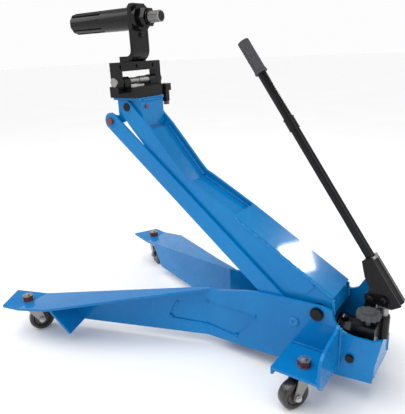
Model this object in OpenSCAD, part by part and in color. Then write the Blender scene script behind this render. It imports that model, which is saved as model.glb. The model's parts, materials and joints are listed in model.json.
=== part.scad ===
// Truck clutch jack: a low floor jack whose long lift arm carries a level head
// with a splined mandrel. Every sub-part is its own node. Units are millimetres.
// +Z is up, the mandrel points along -Y, +X is the left hand of a person
// standing at the handle.
// The origin lies on the floor at the middle of the jack's box.

/* [Base] */
// Thickness of the folded leg plates
leg_t = 6; // [5:0.5:8]
// Outer face of each leg plate behind the bend
leg_x = 58; // [57:0.5:60]
// Top of the caster plates above the floor
deck_z = 90; // [88:1:94]
// Lower edge of the front part of the legs
leg_low_z = 28; // [22:1:34]
// Sideways place of the front caster stems
front_stem_x = 251; // [240:1:258]
// Sideways place of the rear caster stems
rear_stem_x = 117; // [116:1:118]

/* [Lift arm] */
// Length from the main pivot to the head pivot
arm_len = 631; // [600:1:660]
// Angle of the lift arm above level, as drawn
arm_angle = 38.8; // [34:0.2:42]
// Outer half width of the lift arm
arm_x = 44; // [42:0.5:44.5]
// Thickness of the arm side plates
arm_t = 6; // [5:0.5:7]
// Half width of each levelling link
link_r = 20; // [17:0.5:21]

/* [Head] */
// Radius of the mandrel
mandrel_r = 25; // [22:0.2:26]
// Free length of the mandrel
mandrel_len = 204; // [180:1:230]
// Number of splines on the mandrel
splines = 10; // [6:1:12]
// Height of the mandrel axis above the head pivot
mandrel_rise = 195; // [185:1:205]

/* [Pump] */
// Radius of the oil reservoir
reservoir_r = 35; // [30:0.5:36]
// Radius of the ram rod
ram_r = 13; // [10:0.5:15]
// Length of the pump handle
handle_len = 608; // [540:1:640]
// Lean of the handle ahead of upright, as drawn
handle_lean = 34.4; // [30:0.2:36]
// Outer radius of the handle tube
tube_r = 9.5; // [8:0.1:11]

/* [Casters] */
// Wheel radius
wheel_r = 32; // [30:0.5:32.5]
// Wheel width
wheel_w = 24; // [20:0.5:26]
// Distance from the stem to the wheel axle
trail = 25; // [22:0.5:25]

/* [Hidden] */
$fn = 48;

blue = [0.05, 0.48, 0.78];
black = [0.07, 0.07, 0.08];
steel = [0.62, 0.62, 0.60];
far = 400;              // longer than any cut needs
run = 0.05;             // running clearance of a pin in a bore
gap = 0.3;              // room between faces that slide past each other

// main pivot, head pivot and levelling link pivots, as [Y, Z]
pivot = [320, 175];
head_pivot = pivot + arm_len * [-cos(arm_angle), sin(arm_angle)];
link_offset = [-50, -34];
pivot_r = 12;
head_pin_r = 9;
link_pin_r = 8;

// leg: the bend from straight to splayed, and the splay itself
bend_y = 43;
splay = 19.6;
splay_run = tan(splay);
tip_y = -467;
deck_t = 6;
slope_y = -379;
slope = 0.1588;
rear_y = 450;
inner_x = leg_x - leg_t;
function web_x(y) = leg_x + max(0, bend_y - y) * splay_run;
function deck_top(y) = deck_z + max(0, y - slope_y) * slope;

// hydraulics
ram_z = 118;
ram_front_y = 346;
cross_pin_r = 9;
cross_lever = [1.6, -75];
pump_x = -16;
fulcrum = [406, 209];
fulcrum_r = 6;
plunger_y = 431.7;
plunger_z = 212.6;
plunger_r = 8;
knob_x = 29.5;
knob_y = 413;
knob_r = 23.5;
knob_z = 184;

// handle axis: foot and unit vector, as [Y, Z]
handle_foot = [456.3, 201.7];
handle_dir = [-sin(handle_lean), cos(handle_lean)];
handle_side = [handle_dir[1], -handle_dir[0]];
socket_foot = 40;
socket_len = 106;
socket_r = 13;
cheek = [12.5, 16.5];
plunger_pin_r = 5;

// head
deck_head_z = 586;
head_t = 6;
swivel_y = -173;
tilt = [-171, 629];
tilt_pin_r = 8;
mandrel_z = head_pivot[1] + mandrel_rise;
neck_rear_y = -148;
neck_t = 12;
stud_r = 12;

// casters: [stem x, stem y, trailing direction in degrees]
stem_r = 6;
front_stem_y = -394;
rear_stem_y = 320;
casters = [
  [front_stem_x, front_stem_y, 150],
  [-front_stem_x, front_stem_y, 60],
  [rear_stem_x, rear_stem_y, -30],
  [-rear_stem_x, rear_stem_y, 200]
];

// ---- drawing aids ----

// an outline in [Y, Z], extruded from x0 to x1
module side(x0, x1) {
  translate([x0, 0, 0]) rotate([90, 0, 90]) linear_extrude(x1 - x0) children();
}

// a round bar along X from x0 to x1 at [Y, Z]
module bar_x(x0, x1, at, r) {
  translate([x0, at[0], at[1]]) rotate([0, 90, 0]) cylinder(h = x1 - x0, r = r);
}

// a round bar along Y
module bar_y(y0, y1, x, z, r) {
  translate([x, y1, z]) rotate([90, 0, 0]) cylinder(h = y1 - y0, r = r);
}

// children drawn in the arm's own [along, above] axes, placed in [Y, Z]
module on_arm() {
  translate(pivot) mirror([1, 0]) rotate(arm_angle) children();
}

// a mirrored pair about the plane X = 0
module pair() {
  children();
  mirror([1, 0, 0]) children();
}

// ---- legs ----

// outline of a leg's web, as [Y, Z] points; tail is its rear edge
module leg_side(tail) {
  polygon(concat(
    [[-345, deck_top(-345) - 1], [bend_y, deck_top(bend_y)], [75, 159], [160, 181],
     [193, 186], [248, 190], [331, 194], [350, 190]],
    [for (a = [80 : -16 : 0]) [396 - 44 * sin(a), 186 - 40 * cos(a)]],
    tail, [[366, 46], [231, 37], [150, 33],
     [bend_y, leg_low_z], [-300, leg_low_z]]));
}

// plan strip of the folded plate between two offsets from its outer face
module leg_strip(t0, t1) {
  k = 1 / cos(splay);
  polygon([
    [leg_x - t0, rear_y + 9], [leg_x - t0, bend_y], [web_x(tip_y) - t0 * k, tip_y],
    [web_x(tip_y) - t1 * k, tip_y], [leg_x - t1, bend_y], [leg_x - t1, rear_y + 9]
  ]);
}

module leg_window() {
  polygon([[-42, 64], [-48, 72], [-33.5, 107], [-28, 111], [44, 123], [176, 125],
           [182, 120], [129, 55], [124, 52]]);
}

module leg_web(tail) {
  difference() {
    intersection() {
      linear_extrude(250) leg_strip(0, leg_t);
      side(0, far) leg_side(tail);
    }
    side(0, far) leg_window();
    bar_x(0, far, pivot, pivot_r);
    bar_x(0, far, pivot + link_offset, link_pin_r);
    bar_x(0, far, [391, 97], 6);
  }
}

// the folded top flange with the caster plate at its tip
module leg_flange() {
  k = leg_t / cos(splay);
  difference() {
    intersection() {
      linear_extrude(250) polygon([
        [web_x(tip_y) - k, tip_y], [304, -428], [273, -292], [266, -279],
        [107, -27], [62, 50], [leg_x, 56], [inner_x, bend_y]
      ]);
      side(0, far) polygon([
        [tip_y - 1, deck_z - deck_t], [tip_y - 1, deck_z], [slope_y, deck_z],
        [60, deck_top(60)], [60, deck_top(60) - deck_t], [slope_y, deck_z - deck_t]
      ]);
    }
    translate([front_stem_x, front_stem_y, 0]) cylinder(h = 200, r = stem_r);
  }
}

module leg(tail) {
  union() {
    leg_web(tail);
    leg_flange();
  }
}

module leg_right() {
  color(blue) leg([[431, 148], [rear_y, 157], [438, 88], [436, 54]]);
}

// the left leg also carries a raised stop behind the arm
module leg_left() {
  color(blue) union() {
    mirror([1, 0, 0]) leg([[431, 148], [435, 146], [435, 54]]);
    side(-leg_x, -inner_x) polygon([
      [340, 186], [356, 191], [367, 197], [380, 221], [386, 218], [405, 170],
      [432, 147], [430, 134], [376, 134], [344, 168]
    ]);
  }
}

// leaning plate welded behind each front caster
module leg_guards() {
  color(blue) pair() translate([web_x(-276), -276, leg_low_z + 1]) rotate([0, 0, splay])
    rotate([28, 0, 0]) rotate([90, 0, 0]) linear_extrude(leg_t)
    polygon([[0.2, 0], [70, 0], [84, 72], [84, 77.5], [0.2, 73.5]]);
}

// sunk plate that closes the window of each leg
module leg_backing_plates() {
  color(blue) pair() intersection() {
    linear_extrude(250) leg_strip(3.5, leg_t);
    side(0, far) leg_window();
  }
}

// ---- rear outriggers and ties ----

rig_x = 157;
rig_front_y = 266;
rig_rear_y = 362;

module outriggers() {
  color(blue) pair() difference() {
    union() {
      translate([leg_x, rig_front_y, deck_z - deck_t])
        cube([rig_x - leg_x, rig_rear_y - rig_front_y, deck_t]);
      translate([leg_x + 20, rig_front_y, deck_z - 16]) cube([rig_x - leg_x - 20, 5, 16]);
    }
    translate([rear_stem_x, rear_stem_y, 0]) cylinder(h = 200, r = stem_r);
  }
}

module outrigger_gussets() {
  color(blue) pair() translate([0, rig_rear_y + leg_t, 0]) rotate([90, 0, 0])
    linear_extrude(leg_t) polygon([
      [leg_x, 68], [143, 68], [152, 74], [rig_x, 84], [rig_x, 96], [153, 128],
      [148, 138], [136, 145], [110, 152], [80, 155], [66, 160], [leg_x, 164]
    ]);
}

module front_tie_channel() {
  color(blue) union() {
    translate([-inner_x, 62, 36]) cube([2 * inner_x, 50, 5]);
    translate([-inner_x, 62, 41]) cube([2 * inner_x, 5, 26]);
    translate([-inner_x, 107, 41]) cube([2 * inner_x, 5, 26]);
  }
}

module rear_tie_plate() {
  color(blue) translate([0, 436, 0]) rotate([90, 0, 0]) linear_extrude(6)
    polygon([[-inner_x, 62], [inner_x, 62], [inner_x, 112], [40, 118], [-40, 118], [-inner_x, 112]]);
}

pan_t = 6;
pan_z = 56;
module pump_pan() {
  color(blue) translate([-inner_x, 340, pan_z]) cube([2 * inner_x, 96, pan_t]);
}

// ---- fixed shafts, bolts and caster parts ----

module main_pivot_shaft() {
  color(black) union() {
    bar_x(-leg_x, leg_x, pivot, pivot_r);
    pair() bar_x(leg_x, leg_x + 5, pivot, 14);
    pair() bar_x(leg_x + 5, leg_x + 7, pivot, 12.5);
    pair() bar_x(arm_x + gap, inner_x, pivot, 18);
  }
}

module link_anchor_pins() {
  color(blue) pair() bar_x(arm_x + 1, leg_x + 1, pivot + link_offset, link_pin_r);
}

module pump_mount_bolts() {
  color(black) pair() union() {
    bar_x(26, leg_x, [391, 97], 6);
    bar_x(block_x, inner_x, [391, 97], 10);
    translate([leg_x, 391, 97]) rotate([0, 90, 0]) cylinder(h = 6, r = 9, $fn = 6);
  }
}

race_t = 6;
fork_top_z = deck_z - deck_t - race_t - gap;
fork_t = 4;

module caster_nuts() {
  color(steel) for (c = casters) translate([c[0], c[1], 0]) union() {
    translate([0, 0, fork_top_z - fork_t - 4 - gap]) cylinder(h = 4, r = 10);
    translate([0, 0, fork_top_z - fork_t - 4]) cylinder(h = 38, r = stem_r);
    translate([0, 0, deck_z]) cylinder(h = 1.8, r = 14);
    translate([0, 0, deck_z + 1.8]) cylinder(h = 12, r = 14, $fn = 6);
    translate([0, 0, deck_z + 13.8]) cylinder(h = 2, r = stem_r);
  }
}

module caster_races() {
  color(steel) for (c = casters) translate([c[0], c[1], deck_z - deck_t - race_t])
    difference() {
      union() {
        cylinder(h = 2.5, r = 19);
        translate([0, 0, 2.5]) cylinder(h = 1.5, r = 21);
        translate([0, 0, 4]) cylinder(h = 2, r = 23);
      }
      translate([0, 0, -1]) cylinder(h = 20, r = stem_r);
    }
}

// a caster fork in its own axes: the stem is Z and the wheel trails along +X
module fork_shape() {
  cheek_y = wheel_w / 2 + 2;
  cheek_t = 2.5;
  difference() {
    translate([0, 0, fork_top_z - fork_t]) union() {
      cylinder(h = fork_t, r = 20);
      translate([-10, -cheek_y - cheek_t, 0]) cube([32, 2 * (cheek_y + cheek_t), fork_t]);
    }
    cylinder(h = 200, r = stem_r + run);
  }
  for (s = [-1, 1]) translate([0, s * (cheek_y + cheek_t / 2) + cheek_t / 2, 0])
    rotate([90, 0, 0]) linear_extrude(cheek_t) union() {
      polygon([[-10, fork_top_z - fork_t], [22, fork_top_z - fork_t],
               [trail + 8.5, wheel_r + 3], [trail - 6, wheel_r - 6]]);
      translate([trail, wheel_r]) circle(r = 9);
    }
  translate([trail, 0, wheel_r]) rotate([90, 0, 0]) union() {
    cylinder(h = 2 * (cheek_y + cheek_t) + 4, r = 4, center = true);
    for (s = [-1, 1]) translate([0, 0, s * (cheek_y + cheek_t + 1.5)])
      cylinder(h = 3, r = 6.5, center = true);
  }
}

module wheel_shape() {
  translate([trail, 0, wheel_r]) rotate([90, 0, 0]) rotate_extrude($fn = 72) polygon([
    [4 + run, -13.5], [9, -13.5], [10, -9], [19, -8], [22, -wheel_w / 2], [27, -wheel_w / 2],
    [30, -10.5], [wheel_r - 0.6, -7], [wheel_r, 0], [wheel_r - 0.6, 7], [30, 10.5],
    [27, wheel_w / 2], [22, wheel_w / 2], [19, 8], [10, 9], [9, 13.5], [4 + run, 13.5]
  ]);
}

module at_caster(i) {
  translate([casters[i][0], casters[i][1], 0]) rotate([0, 0, casters[i][2]]) children();
}

module fork_front_right() { color(steel) at_caster(0) fork_shape(); }
module fork_front_left() { color(steel) at_caster(1) fork_shape(); }
module fork_rear_right() { color(steel) at_caster(2) fork_shape(); }
module fork_rear_left() { color(steel) at_caster(3) fork_shape(); }
module wheel_front_right() { color(black) at_caster(0) wheel_shape(); }
module wheel_front_left() { color(black) at_caster(1) wheel_shape(); }
module wheel_rear_right() { color(black) at_caster(2) wheel_shape(); }
module wheel_rear_left() { color(black) at_caster(3) wheel_shape(); }

// ---- hydraulic unit ----

block_y = [384, 430];
block_z = [pan_z + pan_t, 166];
block_x = 42;
cylinder_r = 22;

module pump_block() {
  color(black) difference() {
    union() {
      translate([-block_x, block_y[0], block_z[0]])
        cube([2 * block_x, block_y[1] - block_y[0], block_z[1] - block_z[0]]);
      translate([pump_x, plunger_y, 119]) cylinder(h = block_z[1] - 119, r = 12);
    }
    bar_y(block_y[0] - 1, 422, 0, ram_z, cylinder_r);
    translate([pump_x, plunger_y, 125]) cylinder(h = 60, r = plunger_r + run);
    translate([knob_x, knob_y, 157]) cylinder(h = 40, r = 5 + run);
    pair() bar_x(26, far, [391, 97], 6);
  }
}

module reservoir() {
  color(black) difference() {
    union() {
      bar_y(ram_front_y + 4, block_y[0], 0, ram_z, reservoir_r);
      bar_y(ram_front_y, ram_front_y + 4, 0, ram_z, reservoir_r - 3);
      translate([10, 362, ram_z + 28]) cylinder(h = 8, r = 7);
    }
    bar_y(ram_front_y - 1, block_y[0] + 1, 0, ram_z, cylinder_r);
    translate([10, 362, ram_z + 20]) cylinder(h = 30, r = 4);
  }
}

module ram_cylinder() {
  color(steel) difference() {
    bar_y(ram_front_y, 422, 0, ram_z, cylinder_r);
    bar_y(ram_front_y - 1, 418, 0, ram_z, ram_r + run);
  }
}

module filler_plug() {
  color(black) translate([10, 362, 0]) union() {
    translate([0, 0, ram_z + 24]) cylinder(h = 12, r = 4);
    translate([0, 0, ram_z + 36]) cylinder(h = 5, r = 8, $fn = 6);
  }
}

post_w = 16;
module fulcrum_post() {
  color(black) difference() {
    union() {
      side(pump_x - post_w / 2, pump_x + post_w / 2)
        polygon([[392, block_z[1]], [416, block_z[1]], [417, fulcrum[1]], [395, fulcrum[1]]]);
      bar_x(pump_x - post_w / 2, pump_x + post_w / 2, fulcrum, 11);
    }
    bar_x(-far, far, fulcrum, fulcrum_r + run);
  }
}

cross_at = pivot + [-cross_lever[0] * cos(arm_angle) + cross_lever[1] * sin(arm_angle),
                    cross_lever[0] * sin(arm_angle) + cross_lever[1] * cos(arm_angle)];
slot_play = 2.6;
ram_head_y = cross_at[0];

module ram_rod() {
  color(steel) bar_y(ram_head_y + 16, 366, 0, ram_z, ram_r);
}

// slotted head of the ram: the arm's cross pin rides up and down in it
module ram_head() {
  w = cross_pin_r + slot_play;
  color(steel) difference() {
    translate([-16, ram_head_y - 19, 82]) cube([32, 38, 62]);
    translate([-17, ram_head_y - w, 98]) cube([34, 2 * w, 30]);
    bar_x(-17, 17, [ram_head_y, 98], w);
    bar_x(-17, 17, [ram_head_y, 128], w);
    bar_y(ram_head_y + 16, ram_head_y + 20, 0, ram_z, ram_r);
  }
}

// ---- lift arm ----

cover_t = 5;
cover_a = [265, 10];
cover_b = [2, 48];

function arc(c, r, a0, a1) = [for (i = [0 : 8]) c + r * [cos(a0 + i * (a1 - a0) / 8),
                                                       sin(a0 + i * (a1 - a0) / 8)]];

module arm_outline() {
  polygon(concat(
    [cover_b - [0, cover_t], cover_a - [0, cover_t], cover_a, [320, 0], [385, -12],
     [406, -17], [430, -14], [487, -4], [551, 7], [600, 11.5]],
    arc([arm_len, 0], 15, 95, -40),
    [[628, -26], [590, -33], [400, -58], [230, -46], [90, -44], [34, -66]],
    arc(cross_lever, 20, -10, -170),
    [[-28, -30], [-30, 6], [-24, 19]]));
}

module arm_plate() {
  difference() {
    side(arm_x - arm_t, arm_x) on_arm() arm_outline();
    bar_x(0, far, pivot, pivot_r + run);
    bar_x(0, far, cross_at, cross_pin_r);
    bar_x(0, far, head_pivot, head_pin_r);
  }
}

module arm_plate_right() { color(blue) arm_plate(); }
module arm_plate_left() { color(blue) mirror([1, 0, 0]) arm_plate(); }

module arm_cover() {
  color(blue) side(-arm_x, arm_x) on_arm()
    polygon([cover_a, cover_b, cover_b - [0, cover_t], cover_a - [0, cover_t]]);
}

module arm_inner_web() {
  t = 4;
  color(blue) side(arm_t - arm_x, arm_x - arm_t) on_arm() polygon([
    [556, -6], [402, -32], [262, -2], [262, -2 - t], [402, -32 - t], [556, -6 - t]
  ]);
}

module arm_rear_plate() {
  t = 5;
  color(blue) side(arm_t - arm_x, arm_x - arm_t) on_arm() polygon([
    [2, 43], [-23, 19], [-20, 15], [2 + t, 36], [14, 37]
  ]);
}

doubler_t = 2;
module arm_doublers() {
  color(blue) pair() side(arm_x, arm_x + doubler_t) on_arm()
    polygon([[256, -3], [262, 3], [262, 5], [60, 34], [42, 33], [44, 2], [72, -19]]);
}

module ram_cross_pin() {
  color(steel) bar_x(-arm_x, arm_x, cross_at, cross_pin_r);
}

module head_pivot_pin() {
  color(black) union() {
    bar_x(-arm_x, arm_x, head_pivot, head_pin_r);
    pair() translate([arm_x, head_pivot[0], head_pivot[1]]) rotate([0, 90, 0])
      cylinder(h = 2, r = 9.5);
  }
}

// ---- levelling links ----

link_x = arm_x + doubler_t + 0.5;
link_t = 5;
module link_bars() {
  a = pivot + link_offset;
  b = head_pivot + link_offset;
  n = link_r * [sin(arm_angle), cos(arm_angle)];
  color(blue) pair() side(link_x, link_x + link_t) difference() {
    union() {
      polygon([a + n, b + n, b - n, a - n]);
      translate(a) circle(r = link_r);
      translate(b) circle(r = link_r);
    }
    translate(a) circle(r = link_pin_r + run);
    translate(b) circle(r = link_pin_r + run);
  }
}

// ---- level head ----

ear_x = [31.5, 37.5];
module head_plate() {
  color(blue) difference() {
    translate([-43, -214, deck_head_z]) cube([86, 85, head_t]);
    translate([0, swivel_y, 0]) cylinder(h = 900, r = 10 + run);
  }
}

module head_ears() {
  f = head_pivot + link_offset;
  color(blue) pair() side(ear_x[0], ear_x[1]) difference() {
    union() {
      polygon([
        [-206, deck_head_z], [-134, deck_head_z], [-134, 530], [-140, 528], [-165, 543],
        f + [9, -11], f + [-9, -9], f + [-11, 6], [-206, f[1] + 14]
      ]);
      translate(f) circle(r = 13);
    }
    translate(head_pivot) circle(r = head_pin_r + run);
    translate(f) circle(r = link_pin_r);
  }
}

module head_rear_plate() {
  color(blue) difference() {
    translate([-ear_x[1], -134, 526]) cube([2 * ear_x[1], 6, deck_head_z - 526]);
    bar_y(-140, -100, 24, 571, 3);
  }
}

module link_front_bolts() {
  f = head_pivot + link_offset;
  color([0.45, 0.16, 0.14]) pair() union() {
    bar_x(ear_x[0] - 5, link_x + link_t + 1, f, link_pin_r);
    bar_x(ear_x[1], link_x - gap, f, 11);
    translate([link_x + link_t + gap, f[0], f[1]]) rotate([0, 90, 0])
      cylinder(h = 6, r = 9.5, $fn = 6);
    bar_x(ear_x[0] - 6, ear_x[0], f, 11);
  }
  color([0.45, 0.16, 0.14]) union() {
    bar_y(-134, -128, 24, 571, 3);
    bar_y(-128, -125.5, 24, 571, 5);
  }
}

// ---- swivel base, tilt yoke and gooseneck ----

base_z = deck_head_z + head_t + gap;
base_top = 617;
lock_z = 600;
lock_at = [-57.5, -134];
module swivel_base() {
  lug = [34, 54];
  color(black) difference() {
    union() {
      translate([-54, -212, base_z]) cube([108, 78, base_top - base_z]);
      translate([-72, -156, lock_z]) cube([20, 28, base_top - lock_z]);
      translate([-64, -140, 575]) cube([13, 12, lock_z - 575 + 1]);
      pair() side(lug[0], lug[1]) union() {
        translate(tilt) circle(r = 11);
        translate([tilt[0] - 11, base_top - 1]) square([22, tilt[1] - base_top + 1]);
      }
    }
    bar_x(-far, far, tilt, tilt_pin_r + run);
    translate([0, swivel_y, 0]) cylinder(h = 900, r = 10);
    translate([lock_at[0], lock_at[1], 0]) cylinder(h = 900, r = 4);
  }
}

module swivel_king_bolt() {
  color(steel) translate([0, swivel_y, 0]) union() {
    translate([0, 0, 581]) cylinder(h = base_top - 581, r = 10);
    translate([0, 0, 581]) cylinder(h = deck_head_z - 581 - gap, r = 17);
  }
}

module swivel_lock_bolt() {
  color([0.45, 0.16, 0.14]) translate([lock_at[0], lock_at[1], 0]) union() {
    translate([0, 0, 567]) cylinder(h = base_top - 567, r = 4);
    translate([0, 0, 567]) cylinder(h = 8, r = 7, $fn = 6);
  }
}

yoke_x = [57, 76];
yoke_y = [-182, -162];
yoke_z = [604, 652, 672];
screw_x = [-52, 4, 58];
module tilt_yoke() {
  color(black) difference() {
    translate([-yoke_x[1], yoke_y[0], yoke_z[0]])
      cube([2 * yoke_x[1], yoke_y[1] - yoke_y[0], yoke_z[2] - yoke_z[0]]);
    translate([-yoke_x[0], yoke_y[0] - 1, yoke_z[0] - 1])
      cube([2 * yoke_x[0], yoke_y[1] - yoke_y[0] + 2, yoke_z[1] - yoke_z[0] + 1]);
    bar_x(-far, far, tilt, tilt_pin_r);
    for (x = screw_x) bar_y(yoke_y[1] - 8, yoke_y[1] + 1, x, 662, 2.5);
  }
}

module tilt_pin() {
  color(steel) union() {
    bar_x(-yoke_x[1], yoke_x[1], tilt, tilt_pin_r);
    bar_x(-33.7, 0, tilt, 9.5);
    pair() bar_x(yoke_x[1], yoke_x[1] + 3, tilt, 10);
  }
}

module yoke_screws() {
  color(steel) for (x = screw_x) union() {
    bar_y(yoke_y[1] - 8, yoke_y[1], x, 662, 2.5);
    bar_y(yoke_y[1], yoke_y[1] + 2.5, x, 662, 4.5);
  }
}

neck_top = mandrel_z + 31;
neck_x = 26;
module gooseneck() {
  r0 = 14;
  c = [neck_rear_y - neck_t - r0, yoke_z[2] + neck_t + r0];
  outer = [for (a = [0 : 9 : 90]) [sin(a), -cos(a)]];
  inner = [for (a = [90 : -9 : 0]) [sin(a), -cos(a)]];
  color(black) difference() {
    side(-neck_x, neck_x) polygon(concat(
      [[-198, yoke_z[2]]], [for (p = outer) c + (r0 + neck_t) * p],
      [[neck_rear_y, neck_top], [neck_rear_y - neck_t, neck_top]],
      [for (p = inner) c + r0 * p], [[-198, yoke_z[2] + neck_t]]));
    bar_y(-far, far, 0, mandrel_z, stud_r + run);
    for (s = [-1, 1]) translate([s * neck_x, -far, neck_top]) rotate([0, 45, 0])
      cube([10, 2 * far, 10], center = true);
  }
}

collar_y = [neck_rear_y, -138];
collar_r = 28;
module mandrel_collar() {
  color(black) difference() {
    bar_y(collar_y[0], collar_y[1], 0, mandrel_z, collar_r);
    bar_y(-far, far, 0, mandrel_z, stud_r + run);
  }
}

// ---- mandrel ----

spline_len = 110;
spline_r = mandrel_r - 0.3;
groove_d = 3.4;
mandrel_y0 = neck_rear_y - neck_t - gap;
module mandrel() {
  tip = mandrel_y0 - mandrel_len;
  color(black) translate([0, 0, mandrel_z]) difference() {
    union() {
      rotate([90, 0, 0]) rotate_extrude($fn = 96) polygon([
        [0, -mandrel_y0], [mandrel_r, -mandrel_y0], [mandrel_r, -tip - spline_len],
        [spline_r, -tip - spline_len], [spline_r, -tip - 5], [spline_r - 5, -tip],
        [0, -tip]
      ]);
      bar_y(mandrel_y0 - 1, -86, 0, 0, stud_r);
      bar_y(-86, -83, 0, 0, stud_r - 1.5);
    }
    for (i = [0 : splines - 1]) rotate([0, (i + 0.5) * 360 / splines, 0])
      translate([-3.6, tip - 1, mandrel_r - groove_d]) cube([7.2, spline_len, 10]);
  }
}

module mandrel_nut() {
  color(steel) translate([0, 0, mandrel_z]) difference() {
    rotate([90, 0, 0]) union() {
      translate([0, 0, 118]) cylinder(h = -collar_y[1] - 118 - gap, r = 22, $fn = 6);
      translate([0, 0, 114]) cylinder(h = 4, r = 17);
    }
    bar_y(-far, far, 0, 0, stud_r);
  }
}

// ---- handle ----

module along_handle() {
  translate([pump_x, handle_foot[0], handle_foot[1]]) rotate([handle_lean, 0, 0]) children();
}

module handle_socket() {
  color(black) along_handle() difference() {
    union() {
      cylinder(h = socket_len - 4, r = socket_r);
      translate([0, 0, socket_len - 4]) cylinder(h = 4, r = socket_r + 0.8);
    }
    translate([0, 0, socket_foot + 4]) cylinder(h = socket_len, r = tube_r + run);
    pair() translate([cheek[0], -20, -1]) cube([5, 40, socket_len + 2]);
    translate([-20, -20, -1]) cube([40, 24, socket_foot + 1]);
  }
}

// side plates that join the socket to the fulcrum and the plunger pin
plunger_at = [plunger_y, plunger_z];
function on_handle(t, w) = handle_foot + t * handle_dir + w * handle_side;
module handle_cheeks() {
  color(black) for (x = [-cheek[1], cheek[0]]) side(pump_x + x, pump_x + x + cheek[1] - cheek[0])
    difference() {
      union() {
        polygon([
          on_handle(106, 9), on_handle(109, -6), on_handle(108, -13), on_handle(77, -25),
          on_handle(50, -29), fulcrum + [-9, 7], fulcrum + [-8, -9], fulcrum + [4, -11],
          [424, 197], on_handle(-2, -12), on_handle(-2, 9)
        ]);
        translate(fulcrum) circle(r = 12);
      }
      translate(fulcrum) circle(r = fulcrum_r);
      translate(plunger_at) circle(r = plunger_pin_r);
    }
}

module handle_pins() {
  x = cheek[1];
  color(steel) union() {
    bar_x(pump_x - x, pump_x + x, fulcrum, fulcrum_r);
    bar_x(pump_x - x, pump_x + x, plunger_at, plunger_pin_r);
    for (e = [-x - 3, x]) {
      bar_x(pump_x + e, pump_x + e + 3, fulcrum, 8);
      bar_x(pump_x + e, pump_x + e + 3, plunger_at, 7);
    }
  }
}

// plunger with a slotted eye: the pin travels a little fore and aft in it
module pump_plunger() {
  slot = plunger_pin_r + 0.8;
  travel = [-3.2, 0.5];
  color(steel) difference() {
    union() {
      translate([pump_x, plunger_y, 148]) cylinder(h = 60, r = plunger_r);
      translate([pump_x - 12, plunger_y - 13, 190]) cube([24, 22, 32]);
    }
    bar_x(-far, far, plunger_at + [travel[0], 0], slot);
    bar_x(-far, far, plunger_at + [travel[1], 0], slot);
    translate([pump_x - 13, plunger_y + travel[0], plunger_z - slot])
      cube([26, travel[1] - travel[0], 2 * slot]);
  }
}

joint_at = 412.6;
grip_len = 76;
tube_foot = socket_foot + 4;
module handle_lower_tube() {
  color(black) along_handle() difference() {
    translate([0, 0, tube_foot]) cylinder(h = joint_at - tube_foot, r = tube_r);
    translate([0, 0, tube_foot + 3]) cylinder(h = joint_at, r = tube_r - 2.5);
  }
}

module handle_upper_tube() {
  color(black) along_handle() union() {
    difference() {
      union() {
        translate([0, 0, joint_at]) cylinder(h = handle_len - 6 - joint_at, r = tube_r);
        translate([0, 0, joint_at - 12]) cylinder(h = 26, r = tube_r + 1.6);
      }
      translate([0, 0, joint_at - 13]) cylinder(h = 13, r = tube_r);
      translate([0, 0, joint_at - 1]) cylinder(h = handle_len - 4 - joint_at, r = tube_r - 2.5);
    }
  }
}

module handle_grip() {
  color([0.2, 0.2, 0.21]) along_handle() difference() {
    union() {
      translate([0, 0, handle_len - grip_len]) cylinder(h = grip_len - 3, r = 12.5);
      translate([0, 0, handle_len - 3]) cylinder(h = 3, r = 11.5);
      translate([0, 0, handle_len - grip_len]) cylinder(h = 4, r = 13.3);
    }
    translate([0, 0, handle_len - grip_len - 1]) cylinder(h = grip_len - 5, r = tube_r);
  }
}

lobes = 12;
module release_knob() {
  color([0.25, 0.25, 0.26]) translate([knob_x, knob_y, 0]) union() {
    translate([0, 0, 158]) cylinder(h = knob_z - 157, r = 5);
    translate([0, 0, knob_z - 6]) cylinder(h = 7, r = 12);
    difference() {
      union() {
        translate([0, 0, knob_z]) cylinder(h = 9, r = knob_r);
        translate([0, 0, knob_z + 9]) cylinder(h = 2, r = knob_r - 9);
      }
      for (i = [0 : lobes - 1]) rotate([0, 0, i * 360 / lobes])
        translate([knob_r + 2, 0, knob_z - 1]) cylinder(h = 11, r = 4.4);
    }
  }
}

leg_right();
leg_left();
leg_guards();
leg_backing_plates();
outriggers();
outrigger_gussets();
front_tie_channel();
rear_tie_plate();
pump_pan();
main_pivot_shaft();
link_anchor_pins();
pump_mount_bolts();
caster_nuts();
caster_races();
pump_block();
reservoir();
ram_cylinder();
filler_plug();
fulcrum_post();
ram_rod();
ram_head();
arm_plate_right();
arm_plate_left();
arm_cover();
arm_inner_web();
arm_rear_plate();
arm_doublers();
ram_cross_pin();
head_pivot_pin();
link_bars();
head_plate();
head_ears();
head_rear_plate();
link_front_bolts();
swivel_base();
swivel_king_bolt();
swivel_lock_bolt();
tilt_yoke();
tilt_pin();
gooseneck();
mandrel_collar();
yoke_screws();
mandrel();
mandrel_nut();
handle_socket();
handle_cheeks();
handle_pins();
pump_plunger();
handle_lower_tube();
handle_upper_tube();
handle_grip();
release_knob();
fork_front_right();
fork_front_left();
fork_rear_right();
fork_rear_left();
wheel_front_right();
wheel_front_left();
wheel_rear_right();
wheel_rear_left();
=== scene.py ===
import json
import math

import bpy
from bpy.props import FloatProperty, FloatVectorProperty, IntProperty, PointerProperty
from mathutils import Matrix, Vector


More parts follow.
